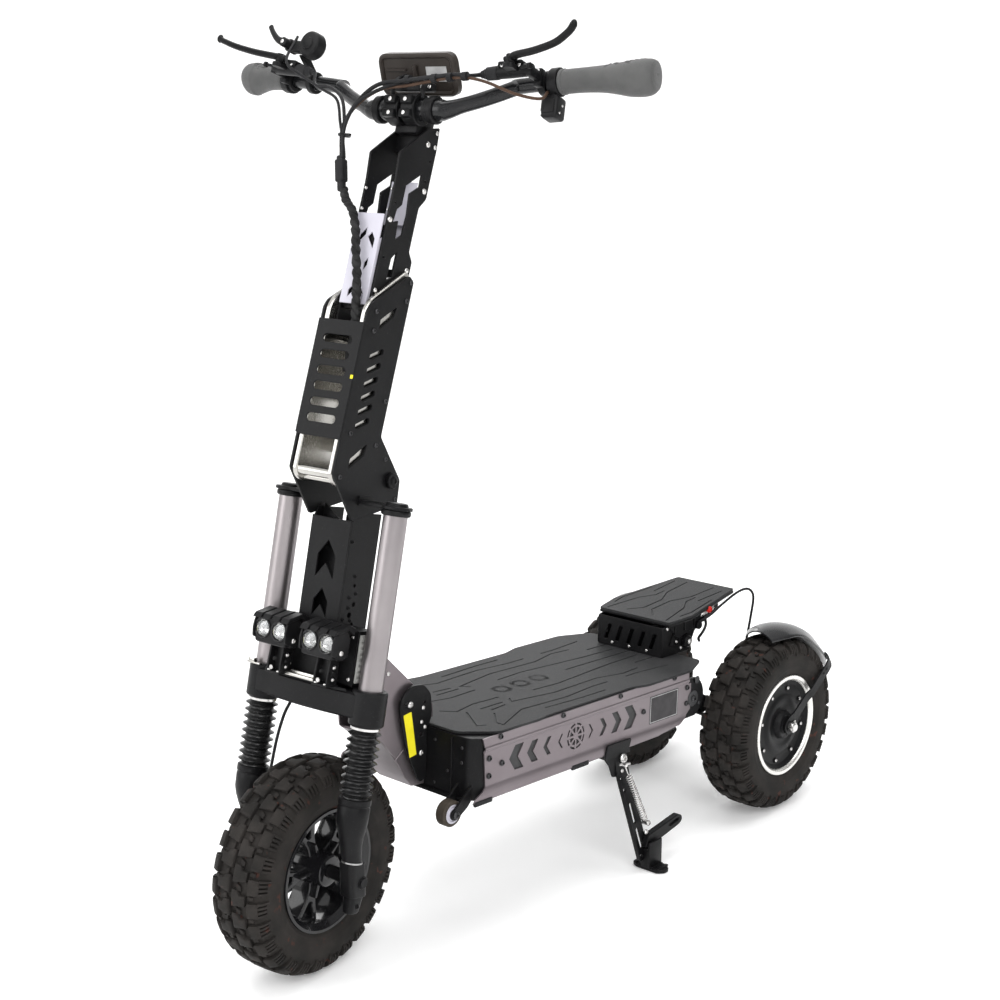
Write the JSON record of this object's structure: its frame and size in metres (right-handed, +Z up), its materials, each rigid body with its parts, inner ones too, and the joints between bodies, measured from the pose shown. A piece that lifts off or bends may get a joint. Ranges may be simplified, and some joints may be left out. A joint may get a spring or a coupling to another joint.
{
  "type": "three-wheeled electric kick scooter",
  "caption": "Off-road electric kick scooter with one steered front wheel, two rear hub-motor wheels, a folding stem, a long deck, a raised foot rest and a side stand.",
  "frame": {"origin": "middle of the footprint's bounding box, on the ground under the deck", "axes": "+Z up, the front of the scooter towards -Y, the rider's left hand towards +X"},
  "size_m": [0.7677, 1.3458, 1.415],
  "materials": {
    "tyre_rubber": "ribbed black rubber",
    "soft_rubber": "matt black rubber",
    "grip_rubber": "soft grey rubber",
    "mat_rubber": "dark grey grooved rubber",
    "black_paint": "satin black powder coat",
    "gloss_black": "glossy black",
    "dark_plastic": "matt black",
    "red_plastic": "red",
    "anodised_aluminium": "satin anodised",
    "polished_aluminium": "polished",
    "panel_metal": "satin grey-purple anodised",
    "white_paint": "satin white",
    "zinc_steel": "zinc plated",
    "battery_wrap": "blue shrink wrap"
  },
  "bodies": {
    "frame": {"frame_neck": "panel_metal", "neck_bracket_left": "black_paint", "neck_bracket_right": "black_paint", "deck_tray": "black_paint", "side_panel_left": "panel_metal", "side_panel_right": "panel_metal", "deck_mat": "mat_rubber", "battery_pack": "battery_wrap", "tail_box": "black_paint", "tail_pad": "mat_rubber", "motor_cable": "soft_rubber"},
    "steering": {"fork_tube_left": "anodised_aluminium", "fork_tube_right": "anodised_aluminium", "lower_clamp": "black_paint", "steering_column": "black_paint", "headlight_left": "dark_plastic", "headlight_right": "dark_plastic", "stem_plate_left": "black_paint", "stem_plate_right": "black_paint", "stem_cover": "black_paint", "fold_pin": "zinc_steel"},
    "fork_lower": {"front_axle": "zinc_steel", "front_caliper": "black_paint", "front_brake_hose": "soft_rubber", "fork_leg_left": "black_paint", "fork_leg_right": "black_paint", "gaiter_left": "soft_rubber", "gaiter_right": "soft_rubber"},
    "front_wheel": {"front_tyre": "tyre_rubber", "front_rim": "black_paint", "front_brake_disc": "zinc_steel"},
    "stem": {"stem_inner_frame": "polished_aluminium", "upper_plate_left": "black_paint", "upper_plate_right": "black_paint", "stem_insert": "white_paint", "handlebar_clamp": "black_paint", "handlebar": "black_paint", "grip_left": "grip_rubber", "grip_right": "grip_rubber", "display": "dark_plastic", "brake_cylinder_left": "black_paint", "brake_cylinder_right": "black_paint", "throttle_pod": "dark_plastic", "switch_pod": "dark_plastic", "cable_harness": "soft_rubber"},
    "lever_left": {"brake_lever_left": "black_paint"},
    "lever_right": {"brake_lever_right": "black_paint"},
    "trigger": {"throttle_trigger": "dark_plastic"},
    "horn": {"horn_button": "red_plastic"},
    "rear_fork": {"swing_arm": "black_paint", "fender_left": "gloss_black", "fender_right": "gloss_black"},
    "wheel_left": {"rear_tyre_left": "tyre_rubber", "rear_motor_left": "black_paint"},
    "wheel_right": {"rear_tyre_right": "tyre_rubber", "rear_motor_right": "black_paint"},
    "stand": {"kickstand_leg": "black_paint", "kickstand_spring": "zinc_steel"},
    "roller_wheel_left": {"roller_left": "soft_rubber"},
    "roller_wheel_right": {"roller_right": "soft_rubber"}
  },
  "joints": [
    {"name": "steering", "type": "hinge", "parent": "frame", "child": "steering", "pos_m": [0.004, -0.51139, 0.16584], "axis": [0, 0.2123, 0.9772], "range_deg": [-41.75, 28.25]},
    {"name": "fork_travel", "type": "slide", "parent": "steering", "child": "fork_lower", "axis": [0, 0.2123, 0.9772], "range_m": [0, 0.03], "stiffness_N_per_m": 12000, "springref_m": -0.01, "deforming": ["gaiter_left", "gaiter_right", "front_brake_hose"]},
    {"name": "front_wheel_spin", "type": "hinge", "parent": "fork_lower", "child": "front_wheel", "pos_m": [0.00353, -0.50753, 0.16501], "axis": [0.9931, 0.1149, -0.025], "continuous": true},
    {"name": "stem_fold", "type": "hinge", "parent": "steering", "child": "stem", "pos_m": [0.00189, -0.36825, 0.74055], "axis": [-0.9931, -0.1149, 0.025], "range_deg": [0, 100]},
    {"name": "left_brake", "type": "hinge", "parent": "stem", "child": "lever_left", "pos_m": [0.19417, -0.26467, 1.34601], "axis": [-0.1168, 0.2937, 0.9487], "range_deg": [0, 14], "stiffness_Nm_per_rad": 1.5, "springref_deg": -5.73},
    {"name": "right_brake", "type": "hinge", "parent": "stem", "child": "lever_right", "pos_m": [-0.24326, -0.31003, 1.36254], "axis": [-0.0936, -0.3181, -0.9434], "range_deg": [0, 14], "stiffness_Nm_per_rad": 1.5, "springref_deg": -5.73},
    {"name": "throttle", "type": "hinge", "parent": "stem", "child": "trigger", "pos_m": [-0.24615, -0.29846, 1.38543], "axis": [0.0674, -0.9474, 0.3127], "range_deg": [0, 30], "stiffness_Nm_per_rad": 0.4, "springref_deg": -5.73},
    {"name": "horn_press", "type": "slide", "parent": "stem", "child": "horn", "axis": [0.1661, -0.936, 0.3102], "range_m": [0, 0.0015], "stiffness_N_per_m": 400, "springref_m": -0.0005},
    {"name": "rear_suspension", "type": "hinge", "parent": "frame", "child": "rear_fork", "pos_m": [0.004, 0.28004, 0.26194], "axis": [1, 0, 0], "range_deg": [-3, 6], "stiffness_Nm_per_rad": 900, "deforming": ["motor_cable"]},
    {"name": "rear_left_spin", "type": "hinge", "parent": "rear_fork", "child": "wheel_left", "pos_m": [0.166, 0.5045, 0.165], "axis": [1, 0, 0], "continuous": true},
    {"name": "rear_right_spin", "type": "hinge", "parent": "rear_fork", "child": "wheel_right", "pos_m": [-0.158, 0.5045, 0.165], "axis": [1, 0, 0], "continuous": true},
    {"name": "stand_fold", "type": "hinge", "parent": "frame", "child": "stand", "pos_m": [0.16, 0.0645, 0.211], "axis": [1, 0, 0], "range_deg": [0, 78], "deforming": ["kickstand_spring"]},
    {"name": "roller_left_spin", "type": "hinge", "parent": "frame", "child": "roller_wheel_left", "pos_m": [0.126, -0.3257, 0.22398], "axis": [1, 0, 0], "continuous": true},
    {"name": "roller_right_spin", "type": "hinge", "parent": "frame", "child": "roller_wheel_right", "pos_m": [-0.118, -0.3257, 0.22398], "axis": [1, 0, 0], "continuous": true}
  ]
}
